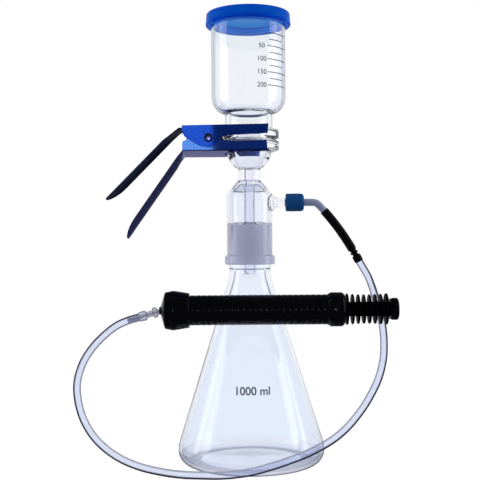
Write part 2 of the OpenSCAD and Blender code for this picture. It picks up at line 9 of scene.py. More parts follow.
import bmesh
import bpy
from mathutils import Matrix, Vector


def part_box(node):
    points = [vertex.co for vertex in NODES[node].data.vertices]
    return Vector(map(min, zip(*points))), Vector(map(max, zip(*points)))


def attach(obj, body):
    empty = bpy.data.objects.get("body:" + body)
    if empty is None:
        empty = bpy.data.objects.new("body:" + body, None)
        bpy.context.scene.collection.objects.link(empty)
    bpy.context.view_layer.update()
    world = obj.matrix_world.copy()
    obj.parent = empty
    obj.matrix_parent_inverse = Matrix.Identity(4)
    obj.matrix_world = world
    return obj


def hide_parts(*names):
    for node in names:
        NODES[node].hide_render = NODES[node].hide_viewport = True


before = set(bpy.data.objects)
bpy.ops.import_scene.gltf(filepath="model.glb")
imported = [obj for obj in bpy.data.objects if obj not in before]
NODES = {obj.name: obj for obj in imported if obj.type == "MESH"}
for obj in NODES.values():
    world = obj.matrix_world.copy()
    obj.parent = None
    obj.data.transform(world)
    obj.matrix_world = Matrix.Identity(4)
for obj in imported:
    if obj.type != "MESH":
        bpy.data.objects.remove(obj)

MM = 0.001
scene = bpy.context.scene
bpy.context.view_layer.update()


# ---- Camera ----

CAMERA_PLACE = (-9.4, -893, 204.5)
CAMERA_ROLL = 0.45     # in degrees, the slight lean of a view held by hand
CAMERA_LENS = 69.75    # in millimetres
CAMERA_SHIFT = 0.019   # the frame's rise, as a share of its width
NEAREST_SEEN = 0.01    # in metres


def add_camera():
    """A level camera in front of the flask."""
    camera = bpy.data.objects.new("camera", bpy.data.cameras.new("camera"))
    scene.collection.objects.link(camera)
    scene.camera = camera
    camera.location = Vector(CAMERA_PLACE) * MM
    camera.rotation_euler = (radians(90), radians(CAMERA_ROLL), 0)
    camera.data.lens = CAMERA_LENS
    camera.data.shift_y = CAMERA_SHIFT
    camera.data.clip_start = NEAREST_SEEN
    scene.view_settings.view_transform = "Standard"


add_camera()


# ---- Shader helpers ----

# Sockets of a Mix node that is set to colours.
FIRST_COLOUR, SECOND_COLOUR, MIXED_COLOUR = 6, 7, 2


def is_output(value):
    """Whether a value is a node's output, and not a number, a colour or a vector."""
    return isinstance(value, bpy.types.NodeSocket)


def add_node(tree, kind, inputs=(), **settings):
    """A shader node with its settings. Each input goes by its name or number, and has a value or
    the output that feeds it."""
    made = tree.nodes.new(kind)
    for name, value in settings.items():
        setattr(made, name, value)
    for name, value in dict(inputs).items():
        if is_output(value):
            tree.links.new(value, made.inputs[name])
        else:
            made.inputs[name].default_value = value
    return made


def calculate(tree, operation, *values):
    """The result of an operation on outputs and numbers, as an output."""
    inputs = dict(enumerate(values))
    return add_node(tree, "ShaderNodeMath", inputs, operation=operation).outputs[0]


def calculate_vector(tree, operation, *values, result="Vector"):
    """The result of an operation on vectors, as an output."""
    inputs = dict(enumerate(values))
    return add_node(tree, "ShaderNodeVectorMath", inputs, operation=operation).outputs[result]


def multiply(tree, *values):
    """The product of two outputs, or of an output and a number."""
    return calculate(tree, "MULTIPLY", *values)


def larger(tree, *values):
    """The larger of two outputs."""
    return calculate(tree, "MAXIMUM", *values)


def part_of(tree, vector, axis):
    """One coordinate of a vector, as an output."""
    return add_node(tree, "ShaderNodeSeparateXYZ", {0: vector}).outputs[axis]


def remap(tree, value, from_low, from_high, to_low=0.0, to_high=1.0):
    """The value moved from one range to another, clamped, as an output."""
    span = {
        "Value": value, "From Min": from_low, "From Max": from_high,
        "To Min": to_low, "To Max": to_high,
    }
    return add_node(tree, "ShaderNodeMapRange", span).outputs["Result"]


def is_ray(tree, kind):
    """1 for rays of a kind, such as Shadow, and 0 for the rest, as an output."""
    return add_node(tree, "ShaderNodeLightPath").outputs["Is " + kind + " Ray"]


def edge_on(tree):
    """0 where a surface faces the view, up to 1 where it is seen edge-on, as an output. Below, this
    is the facing value."""
    return add_node(tree, "ShaderNodeLayerWeight", {"Blend": 0.5}).outputs["Facing"]


def noise(tree, size, detail=2.0, stretch=(1, 1, 1)):
    """A noise with grains of about size millimetres, as an output from 0 to 1."""
    place = add_node(tree, "ShaderNodeTexCoord").outputs["Object"]
    scaled = add_node(tree, "ShaderNodeMapping", {"Vector": place, "Scale": stretch}).outputs[0]
    inputs = {"Vector": scaled, "Scale": 1 / (size * MM), "Detail": detail}
    return add_node(tree, "ShaderNodeTexNoise", inputs).outputs["Fac"]


def blend_colours(tree, factor, first, second):
    """A colour between two, each an output or (red, green, blue), as an output."""
    first, second = (end if is_output(end) else (*end, 1) for end in (first, second))
    inputs = {0: factor, FIRST_COLOUR: first, SECOND_COLOUR: second}
    return add_node(tree, "ShaderNodeMix", inputs, data_type="RGBA").outputs[MIXED_COLOUR]


def mix_shaders(tree, factor, first, second):
    """A mix of two shaders' outputs, as an output."""
    return add_node(tree, "ShaderNodeMixShader", {0: factor, 1: first, 2: second}).outputs[0]


def transparent(tree, tint):
    """A shader that lets the view straight through, as an output."""
    return add_node(tree, "ShaderNodeBsdfTransparent", {"Color": (*tint, 1)}).outputs[0]


def new_material(name, colour, roughness, **sockets):
    """A Principled material, and its shader. Further sockets are named with _ for a space."""
    material = bpy.data.materials.new(name)
    material.use_nodes = True
    shader = material.node_tree.nodes["Principled BSDF"]
    shader.inputs["Base Color"].default_value = (*colour, 1)
    shader.inputs["Roughness"].default_value = roughness
    for socket, value in sockets.items():
        shader.inputs[socket.replace("_", " ")].default_value = value
    return material, shader


def feed(shader, socket, output):
    """The output drives one of the shader's sockets."""
    shader.id_data.links.new(output, shader.inputs[socket])


def show(material, output):
    """The output becomes what the material shows."""
    tree = material.node_tree
    tree.links.new(output, tree.nodes["Material Output"].inputs["Surface"])


def add_bump(shader, height, depth):
    """Relief of depth millimetres on a shader's surface."""
    inputs = {"Height": height, "Distance": depth * MM, "Strength": 1.0}
    bump = add_node(shader.id_data, "ShaderNodeBump", inputs)
    feed(shader, "Normal", bump.outputs["Normal"])


def let_lamps_through(material, shader, tint):
    """Lamps shine through the material as through thin glass, so that its shadow is pale."""
    tree = material.node_tree
    clear = transparent(tree, tint)
    show(material, mix_shaders(tree, is_ray(tree, "Shadow"), shader.outputs[0], clear))


# ---- Materials ----

GLASS_IOR = 1.47
GLASS_SHADOW = (0.93, 0.94, 0.96)
WALL_TURNS = 0.1, 0.65   # facing values between which glass takes its turned wall's painted shade
LINE_RISE = 0.03         # the width in facing values over which a critical angle's line comes up
LINE_FADE = 0.38, 0.46   # facing values between which it goes again
THIN_WALL_TINT = (0.93, 0.945, 0.99)
THIN_WALL_EDGE = 0.95    # how much of a thin wall's colour shows where it is seen edge-on
THIN_WALL_SHADOW = 0.2   # share of its body that a thin wall's shadow has
INNER_SIDE_SHADE = 0.3         # strength of the painted shade line along the inner side of a hose's loop
OUTER_SIDE_TURN = 0.12   # added to the facing value on the outer side, which widens its painted shade line
GRAIN_TONES = 0.35, 0.65           # noise between a speckled material's dark and light grains
GRAIN_GLOSS = 0.3, 0.7             # noise between its glossier and duller grains
GRAIN_ROUGHNESS = 0.8, 1.2         # and their shares of its roughness


def critical_line(tree, facing, onset):
    """The dark line that a bore shows where light inside the wall meets it at the critical angle,
    from an onset in the facing value, as an output."""
    line = multiply(
        tree, remap(tree, facing, onset, onset + LINE_RISE), remap(tree, facing, *LINE_FADE, 1, 0)
    )
    return multiply(tree, line, add_node(tree, "ShaderNodeNewGeometry").outputs["Backfacing"])


def clear_glass(name, tint, side, edge, start, end, line_onset=None):
    """Clear glass whose colour deepens to side as the wall turns away, and to edge where it is seen
    edge-on, from start to end in the facing value: painted shade for the dark that the turned walls
    refract, over a little real tint from the longer path through the glass. A bore's glass has a
    line_onset."""
    material, shader = new_material(name, tint, 0.0, Transmission_Weight=1.0, IOR=GLASS_IOR)
    tree = material.node_tree
    facing = edge_on(tree)
    # Painted shade: the glass darkens to its edge colour where it is seen edge-on.
    dark = remap(tree, facing, start, end)
    if line_onset:
        dark = larger(tree, dark, critical_line(tree, facing, line_onset))
    turned = blend_colours(tree, remap(tree, facing, *WALL_TURNS), tint, side)
    feed(shader, "Base Color", blend_colours(tree, dark, turned, edge))
    let_lamps_through(material, shader, GLASS_SHADOW)
    return material


def outer_side_shade(tree, centre):
    """1 on the side of a loop in the XZ plane that faces away from its centre, and the inner side's
    lesser strength on the side towards it, as an output: the mask of a hose's painted shade."""
    surface = add_node(tree, "ShaderNodeNewGeometry").outputs
    away = calculate_vector(tree, "SUBTRACT", surface["Position"], centre)
    away = calculate_vector(tree, "MULTIPLY", away, (1, 0, 1))
    away = calculate_vector(tree, "NORMALIZE", away)
    turned = calculate_vector(tree, "DOT_PRODUCT", away, surface["Normal"], result="Value")
    front = remap(tree, surface["Backfacing"], 0, 1, 1, -1)
    return remap(tree, multiply(tree, turned, front), -0.1, 0.5, INNER_SIDE_SHADE, 1)


def see_through(name, colour, edge, start, end, body, roughness=0.12, loop=None, ior=1.45):
    """A clear wall that is too thin to bend the view. body is how much of its colour shows face-on,
    and it turns to the edge colour from start to end in the facing value: a painted shade for the
    dark that the wall's edges refract. loop is the centre of a hose's loop, where this painted
    shade along the outer side is the wider and the darker one."""
    material, shader = new_material(name, colour, roughness, IOR=ior)
    tree = material.node_tree
    facing = edge_on(tree)
    if loop:
        outer = outer_side_shade(tree, loop)
        facing = calculate(tree, "ADD", facing, multiply(tree, outer, OUTER_SIDE_TURN))
    # Painted shade: the wall darkens to its edge colour where it is seen edge-on, more on a loop's
    # outer side.
    dark = remap(tree, facing, start, end)
    if loop:
        dark = multiply(tree, dark, outer)
    feed(shader, "Base Color", blend_colours(tree, dark, colour, edge))
    seen = remap(tree, facing, start, end, body, THIN_WALL_EDGE)
    shading = remap(tree, is_ray(tree, "Shadow"), 0, 1, 1, THIN_WALL_SHADOW)
    clear = transparent(tree, THIN_WALL_TINT)
    show(material, mix_shaders(tree, multiply(tree, seen, shading), clear, shader.outputs[0]))
    return material


def ground_glass():
    """The frosted cone and socket of the joint."""
    colour = (0.6, 0.62, 0.78)
    material, shader = new_material(
        "ground_glass", colour, 0.5, Transmission_Weight=0.4, IOR=GLASS_IOR
    )
    add_bump(shader, noise(material.node_tree, 0.3), 0.02)
    let_lamps_through(material, shader, (0.7, 0.7, 0.75))
    return material


def sintered_glass():
    """The grainy white glass of the filter base's disc."""
    material, shader = new_material("sintered_glass", (0.9, 0.91, 0.93), 0.7)
    tree = material.node_tree
    grains = noise(tree, 0.35, 3)
    colour = blend_colours(tree, grains, (0.78, 0.8, 0.83), (0.97, 0.97, 0.98))
    feed(shader, "Base Color", colour)
    add_bump(shader, grains, 0.15)
    return material


def speckled(name, dark, light, roughness, grain_size, relief, stretch=(1, 1, 1), **sockets):
    """An opaque material with a fine grain in its colour, its roughness and its surface."""
    material, shader = new_material(name, dark, roughness, **sockets)
    tree = material.node_tree
    grains = noise(tree, grain_size, 3, stretch)
    feed(shader, "Base Color", blend_colours(tree, remap(tree, grains, *GRAIN_TONES), dark, light))
    span = (roughness * share for share in GRAIN_ROUGHNESS)
    feed(shader, "Roughness", remap(tree, grains, *GRAIN_GLOSS, *span))
    add_bump(shader, grains, relief)
    return material


def translucent(name, colour, roughness, transmission, ior=1.49):
    """Moulded plastic that lets some light through."""
    material, shader = new_material(
        name, colour, roughness, Transmission_Weight=transmission, IOR=ior
    )
    add_bump(shader, noise(material.node_tree, 1.5), 0.01)
    let_lamps_through(material, shader, tuple(min(1, part + 0.3) for part in colour))
    return material


CLAMP_FOOT_Z = 295.9           # underside of the clamp's lower jaw
CLAMP_TOP_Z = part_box("clamp_upper_lever")[1].z / MM
HANDLES_FROM_X = -62.5, -64.5  # the jaws' finish gives way to the handles' between these
JAW_ROUGHNESS, HANDLE_ROUGHNESS = 0.045, 0.3
UPPER_RIM, LOWER_RIM = (-1.1, -0.7), (1.2, 0.8)   # where each rim's painted shade comes in, from top and foot
# The colour of the painted shade along the jaws' rims.
RIM_SHADE_COLOUR = (0.002, 0.008, 0.05)


def anodised_sheet(name, jaws, handles):
    """The clamp's blue metal, glossy at the jaws, with painted shade along the rims of their sides
    for the dark that the rounded edges mirror, and duller on the handles."""
    tint = (0.15, 0.17, 0.4, 1)
    material, shader = new_material(name, (0, 0, 1), JAW_ROUGHNESS, IOR=1.02, Specular_Tint=tint)
    tree = material.node_tree
    grains = remap(tree, noise(tree, 0.9, 3), 0.38, 0.62)
    jaw = blend_colours(tree, grains, *jaws)
    handle = blend_colours(tree, grains, *handles)
    own = add_node(tree, "ShaderNodeTexCoord").outputs
    height = part_of(tree, own["Object"], "Z")
    # Painted shade: dark lines along the top and foot of the jaws' front and back faces.
    upper_rim_shade = remap(tree, height, *((CLAMP_TOP_Z + z) * MM for z in UPPER_RIM))
    lower_rim_shade = remap(tree, height, *((CLAMP_FOOT_Z + z) * MM for z in LOWER_RIM))
    side = calculate(tree, "ABSOLUTE", part_of(tree, own["Normal"], "Y"))
    rim = multiply(tree, larger(tree, upper_rim_shade, lower_rim_shade), side)
    jaw = blend_colours(tree, rim, jaw, RIM_SHADE_COLOUR)
    back = remap(tree, part_of(tree, own["Object"], "X"), *(x * MM for x in HANDLES_FROM_X))
    feed(shader, "Base Color", blend_colours(tree, back, jaw, handle))
    feed(shader, "Roughness", remap(tree, back, 0, 1, JAW_ROUGHNESS, HANDLE_ROUGHNESS))
    feed(shader, "Metallic", remap(tree, back, 0, 1, 1, 0))
    return material


# Glass: tint, painted shade of the turned wall and of the edge, and where the edge's painted shade
# comes in. The copies of one glass for the stretches of a piece are painted lighter or darker than
# each other.
GLASS_EDGE_SHADE = (0.05, 0.055, 0.09)
BORE_TINT_AND_SHADES = (0.92, 0.93, 0.98), (0.88, 0.9, 0.96), GLASS_EDGE_SHADE
funnel_glass = clear_glass(
    "funnel_glass", (0.94, 0.955, 0.98), (0.86, 0.895, 0.97), (0.05, 0.07, 0.14), 0.58, 0.84
)
flask_glass = clear_glass(
    "flask_glass", (0.885, 0.922, 0.985), (0.81, 0.85, 0.94), (0.22, 0.24, 0.34), 0.84, 1.0
)
base_glass = clear_glass(
    "base_glass", (0.91, 0.93, 0.985), (0.85, 0.87, 0.95), (0.12, 0.13, 0.2), 0.72, 0.94
)
bore_glass = clear_glass("bore_glass", *BORE_TINT_AND_SHADES, 0.9, 1.0, line_onset=0.17)
neck_glass = clear_glass("neck_glass", *BORE_TINT_AND_SHADES, 0.9, 1.0, line_onset=0.2)
# The heel's copy is painted darker, a painted shade for its thick, turned corner.
heel_glass_painted_shade = clear_glass(
    "heel_glass_painted_shade", (0.85, 0.87, 0.94), (0.5, 0.53, 0.66), GLASS_EDGE_SHADE, 0.5, 0.9
)
tube_glass = clear_glass(
    "tube_glass", (0.93, 0.94, 0.985), (0.85, 0.87, 0.95), GLASS_EDGE_SHADE, 0.35, 0.8
)
arm_glass = clear_glass(
    "arm_glass", (0.95, 0.96, 0.985), (0.9, 0.92, 0.97), (0.4, 0.42, 0.52), 0.8, 1.0
)
# The shoulder's dark edge colour is painted shade.
shoulder_glass = see_through(
    "shoulder_glass", (0.75, 0.78, 0.88), (0.03, 0.035, 0.07), 0.55, 0.98, 0.12, 0.03, ior=1.1
)
frosted = ground_glass()
sinter = sintered_glass()

# Opaque: dark and light grains, roughness, size of the grain and depth of its relief.
membrane = speckled("membrane", (0.9, 0.9, 0.89), (0.96, 0.96, 0.95), 0.8, 0.3, 0.01)
print_ink = speckled("print_ink", (0.02, 0.02, 0.04), (0.04, 0.04, 0.07), 0.5, 0.2, 0.005)
flask_ink = speckled("flask_ink", (0.15, 0.18, 0.25), (0.2, 0.23, 0.31), 0.5, 0.2, 0.005)
steel = speckled(
    "steel", (0.55, 0.55, 0.57), (0.66, 0.66, 0.68), 0.22, 0.3, 0.004, (1, 12, 1), Metallic=1.0
)
dark_steel = speckled(
    "dark_steel", (0.01, 0.012, 0.04), (0.02, 0.024, 0.06), 0.04, 0.4, 0.0002, Metallic=1.0
)
PUMP_BLACKS = (0.0015, 0.0015, 0.0025), (0.003, 0.003, 0.005)
pump_plastic = speckled("pump_plastic", *PUMP_BLACKS, 0.16, 0.8, 0.004, IOR=1.17)
grip_plastic = speckled("grip_plastic", *PUMP_BLACKS, 0.3, 0.8, 0.004, IOR=1.03)
black_rubber = speckled(
    "black_rubber", (0.002, 0.002, 0.003), (0.005, 0.005, 0.007), 0.5, 0.7, 0.03, IOR=1.2
)
washer_plastic = speckled(
    "washer_plastic", (0.002, 0.003, 0.012), (0.005, 0.007, 0.02), 0.2, 0.8, 0.005
)
petrol_plastic = speckled(
    "petrol_plastic", (0.004, 0.075, 0.27), (0.008, 0.11, 0.36), 0.42, 0.6, 0.03, IOR=1.25
)
silicone = speckled("silicone", (0.4, 0.06, 0.04), (0.5, 0.1, 0.06), 0.55, 0.6, 0.02)
grey_plastic = speckled("grey_plastic", (0.3, 0.3, 0.32), (0.38, 0.38, 0.4), 0.45, 0.6, 0.02)

# The clamp's levers, lit and shaded copies of one metal: the lower lever's colours are painted
# lighter, for the light that falls on it. Dark and light grains of the jaws, and those of the
# handles.
upper_anodised_painted_shade = anodised_sheet(
    "upper_anodised_painted_shade",
    ((0.006, 0.045, 0.4), (0.026, 0.12, 0.76)),
    ((0.013, 0.018, 0.062), (0.024, 0.032, 0.11)),
)
lower_anodised_painted_light = anodised_sheet(
    "lower_anodised_painted_light",
    ((0.014, 0.058, 0.47), (0.045, 0.15, 0.86)),
    ((0.027, 0.034, 0.11), (0.048, 0.06, 0.18)),
)

# Plastic that light goes through.
lid_plastic = translucent("lid_plastic", (0.003, 0.16, 0.7), 0.12, 0.6, ior=1.06)
# Copies of the lid's plastic: the plug is painted lighter for the light that passes through it, and
# its inner corner is a painted shade line.
plug_plastic_painted_light = translucent("plug_plastic_painted_light", (0.03, 0.42, 0.82), 0.12, 0.6, ior=1.04)
lid_corner_painted_shade = translucent("lid_corner_painted_shade", (0.003, 0.05, 0.3), 0.12, 0.6, ior=1.06)
nozzle_plastic = translucent("nozzle_plastic", (0.5, 0.54, 0.72), 0.2, 0.3)
# The edge colours of the hose, its bore and the fittings are painted shade.
hose_plastic = see_through(
    "hose_plastic", (0.8, 0.83, 0.97), (0.02, 0.025, 0.06), 0.2, 0.42, 0.05,
    loop=(-0.01, 0, 0.1), ior=1.2,
)
hose_bore = see_through("hose_bore", (0.8, 0.82, 0.97), (0.45, 0.47, 0.62), 0.6, 0.95, 0.03)
fitting_plastic = see_through(
    "fitting_plastic", (0.5, 0.52, 0.68), (0.1, 0.1, 0.18), 0.3, 0.85, 0.4
)


# ---- Mesh helpers ----

SMOOTH_BELOW = 32      # an own mesh's edges are kept sharp from this angle on
BEVEL_FROM = 30        # a CAD node's edges are rounded from this angle on
SUPPORT_GAP = 0.2      # how far a support point stands from the end of a straight
LONG_STRAIGHT = 5 * SUPPORT_GAP
WELD_GAP = 0.002


def arc(centre_r, centre_z, radius, start, end, steps=24, radius_z=None):
    """Points along an arc in an outline, from one angle to another. radius_z makes it elliptic."""
    radius_z = radius if radius_z is None else radius_z
    angles = [radians(start + (end - start) * i / steps) for i in range(steps + 1)]
    return [(centre_r + radius * cos(a), centre_z + radius_z * sin(a)) for a in angles]


def mesh_of(form, name):
    """The form as a closed mesh whose faces look outwards."""
    bmesh.ops.recalc_face_normals(form, faces=form.faces)
    mesh = bpy.data.meshes.new(name)
    form.to_mesh(mesh)
    form.free()
    return mesh


def evaluated_mesh(thing):
    """An object's mesh with its modifiers, or of its words."""
    bpy.context.view_layer.update()
    graph = bpy.context.evaluated_depsgraph_get()
    return bpy.data.meshes.new_from_object(thing.evaluated_get(graph))


def shade(mesh):
    """Smooth shading that stops at sharp edges."""
    form = bmesh.new()
    form.from_mesh(mesh)
    for face in form.faces:
        face.smooth = True
    for edge in form.edges:
        closed = len(edge.link_faces) == 2
        edge.smooth = closed and edge.calc_face_angle(0) < radians(SMOOTH_BELOW)
    form.to_mesh(mesh)
    form.free()


def add_object(name, mesh, body, materials):
    """A finished piece that rides on a body."""
    piece = bpy.data.objects.new(name, mesh)
    scene.collection.objects.link(piece)
    for material in materials:
        mesh.materials.append(material)
    shade(mesh)
    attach(piece, body)
    return piece


def with_supports(points, closed):
    """The points of an outline with one more near each end of every long straight, so that the
    roundings beside it don't tilt its smooth shading. Each is (radius, height, material number)."""
    held = []
    for i, (radius, height, number) in enumerate(points):
        held.append((radius, height, number))
        if i == len(points) - 1 and not closed:
            break
        far_radius, far_height, _ = points[(i + 1) % len(points)]
        out, up = far_radius - radius, far_height - height
        length = hypot(out, up)
        if length > LONG_STRAIGHT:
            for share in (SUPPORT_GAP / length, 1 - SUPPORT_GAP / length):
                held.append((radius + out * share, height + up * share, number))
    return held


def lathe_mesh(name, stretches, segments=192, axis_z=None):
    """A closed solid turned about Z, or about a line along X at the height axis_z. Each stretch is
    a list of (radius, height) points, or (radius, x) ones, and a material number. The outline
    closes on itself, or at the axis where it starts and ends there."""
    points = [
        (radius, height, number) for stretch, number in stretches for radius, height in stretch
    ]
    at_axis = points[0][0] == 0 and points[-1][0] == 0
    points = with_supports(points, closed=not at_axis)
    shift = Vector((0, 0, axis_z or 0))
    turns = [2 * pi * k / segments for k in range(segments)]
    form = bmesh.new()
    rings = []
    for radius, height, _ in points:
        ring = []
        for turn in turns if radius > 0 else [0]:
            across, aside = radius * cos(turn), radius * sin(turn)
            place = (across, aside, height) if axis_z is None else (height, across, aside)
            ring.append(form.verts.new((Vector(place) + shift) * MM))
        rings.append(ring)
    for i in range(len(points) - (1 if at_axis else 0)):
        low, high = rings[i], rings[(i + 1) % len(points)]
        for k in range(segments):
            corners = [low[k % len(low)], low[(k + 1) % len(low)]]
            corners += [high[(k + 1) % len(high)], high[k % len(high)]]
            face = form.faces.new(list(dict.fromkeys(corners)))
            face.material_index = points[i][2]
    return mesh_of(form, name)


def smooth_path(points, per_span=8):
    """A Catmull-Rom curve through points, with per_span steps between each two."""
    points = [Vector(p) for p in points]
    ends = [points[0] * 2 - points[1]] + points + [points[-1] * 2 - points[-2]]
    curve = []
    for a, b, c, d in zip(ends, ends[1:], ends[2:], ends[3:]):
        for step in range(per_span):
            t = step / per_span
            bend = (2 * a - 5 * b + 4 * c - d) * t**2 + (3 * b - a - 3 * c + d) * t**3
            curve.append(0.5 * (2 * b + (c - a) * t + bend))
    return curve + [points[-1]]


def tube_mesh(name, path, outer, inner, sides=32):
    """A closed tube along a path, whose inner wall takes the second material."""
    frames, across = [], Vector((0, 1, 0))
    for i, place in enumerate(path):
        along = (path[min(i + 1, len(path) - 1)] - path[max(i - 1, 0)]).normalized()
        across = (across - along * across.dot(along)).normalized()
        frames.append((place, across, along.cross(across)))
    turns = [2 * pi * k / sides for k in range(sides)]
    form = bmesh.new()

    def wall(radius):
        return [
            [form.verts.new((p + radius * (u * cos(t) + v * sin(t))) * MM) for t in turns]
            for p, u, v in frames
        ]

    def skin(first, second, number):
        for k in range(sides):
            far = (k + 1) % sides
            face = form.faces.new((first[k], first[far], second[far], second[k]))
            face.material_index = number

    outside, inside = wall(outer), wall(inner)
    for near, far in zip(outside, outside[1:]):
        skin(near, far, 0)
    for near, far in zip(inside, inside[1:]):
        skin(far, near, 1)
    skin(inside[0], outside[0], 0)
    skin(outside[-1], inside[-1], 0)
    return mesh_of(form, name)


def dress(node, material, bevel):
    """A CAD node with its material, and its sharp edges broken by a small round."""
    solid = NODES[node]
    solid.data.materials.clear()
    solid.data.materials.append(material)
    weld = solid.modifiers.new("weld", "WELD")
    weld.merge_threshold = WELD_GAP * MM
    if bevel:
        rounding = solid.modifiers.new("rounding", "BEVEL")
        rounding.width = bevel * MM
        rounding.segments = 2
        rounding.limit_method = "ANGLE"
        rounding.angle_limit = radians(BEVEL_FROM)
        rounding.use_clamp_overlap = True
        rounding.harden_normals = True
        rounding.miter_outer = "MITER_ARC"


# ---- Vacuum hose ----

# The hose's centre line in metres, from the coupler under the side arm to the pump's connector.
HOSE_ROUTE = [
    (0.1051, 0, 0.1918), (0.109, 0, 0.185), (0.113, -0.002, 0.1775), (0.116, -0.007, 0.168),
    (0.1185, -0.013, 0.1575), (0.1215, -0.019, 0.145), (0.1235, -0.023, 0.131),
    (0.124, -0.027, 0.116), (0.1225, -0.03, 0.1), (0.117, -0.034, 0.0825),
    (0.107, -0.039, 0.065), (0.097, -0.043, 0.052), (0.085, -0.048, 0.04),
    (0.07, -0.054, 0.03), (0.051, -0.062, 0.022), (0.033, -0.068, 0.0165),
    (0.015, -0.073, 0.012), (-0.003, -0.075, 0.008), (-0.025, -0.073, 0.005),
    (-0.047, -0.068, 0.004), (-0.065, -0.063, 0.0038), (-0.083, -0.057, 0.005),
    (-0.102, -0.052, 0.0085), (-0.12, -0.049, 0.0155), (-0.135, -0.048, 0.026),
    (-0.146, -0.048, 0.0385), (-0.154, -0.048, 0.054), (-0.158, -0.048, 0.071),
    (-0.158, -0.048, 0.086), (-0.153, -0.048, 0.102), (-0.1445, -0.048, 0.1155),
    (-0.1335, -0.048, 0.127), (-0.1225, -0.048, 0.1355), (-0.112, -0.048, 0.1403),
    (-0.1012, -0.048, 0.1434),
]
HOSE_D = 7.2
HOSE_BORE_R = 2.3


def add_hose():
    """The clear hose, hollow, on one smooth curve."""
    path = smooth_path([Vector(p) / MM for p in HOSE_ROUTE])
    mesh = tube_mesh("hose", path, HOSE_D / 2, HOSE_BORE_R)
    hose = add_object("hose", mesh, "stand", [hose_plastic, hose_bore])
    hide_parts("vacuum_hose")


add_hose()


# ---- Flask ----

# Material numbers of the stretches of glass. The flask's heel and the base's arm share one.
OUTER, WALL, GROUND, BORE, TUBE, HEEL = range(6)
ARM, SHOULDER = 5, 6
FLASK_GLASS = [flask_glass, flask_glass, frosted, neck_glass, tube_glass, heel_glass_painted_shade]
BASE_GLASS = [
    base_glass, base_glass, frosted, bore_glass, tube_glass, arm_glass, shoulder_glass,
]
FUNNEL_GLASS = [funnel_glass, funnel_glass]

FLASK_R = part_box("flask")[1].x / MM
FLASK_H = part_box("flask")[1].z / MM
NECK_R, NECK_BORE_R = 19.4, 15.0
NECK_FILLET = 30.0
CORNER_R, HIP_R, FLASK_WALL = 13.0, 30.5, 3.0
FOOT_R, FOOT_RISE = 48.0, 3.5
CONE = radians(17.3)   # slope of the cone's wall from the vertical
LINE_END_Z = 156.0     # where the dark line of the neck's bore ends, behind the pump
JOINT_R, JOINT_Z, JOINT_TOP_Z = 20.0, 186.0, 227.5
BEAD_Z = 189.6         # foot of the socket's bead, where the ground faces begin

cone_start_r = FLASK_R - HIP_R * (1 - cos(CONE))
cone_start_z = CORNER_R + HIP_R * sin(CONE)
fillet_foot_r = NECK_R + NECK_FILLET * (1 - cos(CONE))
fillet_foot_z = cone_start_z + (cone_start_r - fillet_foot_r) / tan(CONE)
neck_z = fillet_foot_z + NECK_FILLET * sin(CONE)


def flask_r(z):
    """Outer radius of the flask's cone at a height."""
    return cone_start_r - (z - cone_start_z) * tan(CONE)


def ground_cone_r(z):
    """Radius of the joint's ground cone, which tapers by 1 in 20 of the radius."""
    return JOINT_R - (z - JOINT_Z) / 20


def foot(height):
    """The foot's pushed-up centre, as a shallow dome, from the axis outwards."""
    steps = 12
    return [
        (FOOT_R * i / steps, height + FOOT_RISE * (0.5 + 0.5 * cos(pi * i / steps)))
        for i in range(steps + 1)
    ]


def add_flask():
    """The flask, blown in one piece, with the joint's ground cone on its neck."""
    slope = degrees(CONE)
    rim = (ground_cone_r(FLASK_H) - NECK_BORE_R) / 2
    corner_centre, hip_centre = FLASK_R - CORNER_R, FLASK_R - HIP_R
    fillet_centre = NECK_R + NECK_FILLET
    heel = foot(0) + arc(corner_centre, CORNER_R, CORNER_R, -90, 0)
    outside = arc(hip_centre, CORNER_R, HIP_R, 0, slope, 10)[1:]
    outside += arc(fillet_centre, neck_z, NECK_FILLET, 180 + slope, 180, 12)
    outside += [(NECK_R, JOINT_Z - 1), (JOINT_R, JOINT_Z)]
    cone = [(ground_cone_r(BEAD_Z), BEAD_Z)]
    lip = arc(NECK_BORE_R + rim, FLASK_H - rim, rim, 0, 180, 16)
    bore = arc(fillet_centre, neck_z, fillet_centre - NECK_BORE_R, 180, 180 + slope, 12)
    bore_end_r, bore_end_z = bore[-1]
    inside = [(bore_end_r + (bore_end_z - LINE_END_Z) * tan(CONE), LINE_END_Z)]
    inside += arc(hip_centre, CORNER_R, HIP_R - FLASK_WALL, slope, 0, 10)
    heel_inside = arc(corner_centre, CORNER_R, CORNER_R - FLASK_WALL, 0, -90)[1:]
    mesh = lathe_mesh("flask_glass", [
        (heel, HEEL), (outside, OUTER), (cone, GROUND), (lip, OUTER), (bore, BORE),
        (inside, WALL), (heel_inside, HEEL), (foot(FLASK_WALL)[::-1], WALL),
    ])
    flask = add_object("flask_glass", mesh, "stand", FLASK_GLASS)
    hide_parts("flask")


add_flask()


# ---- Filter base ----

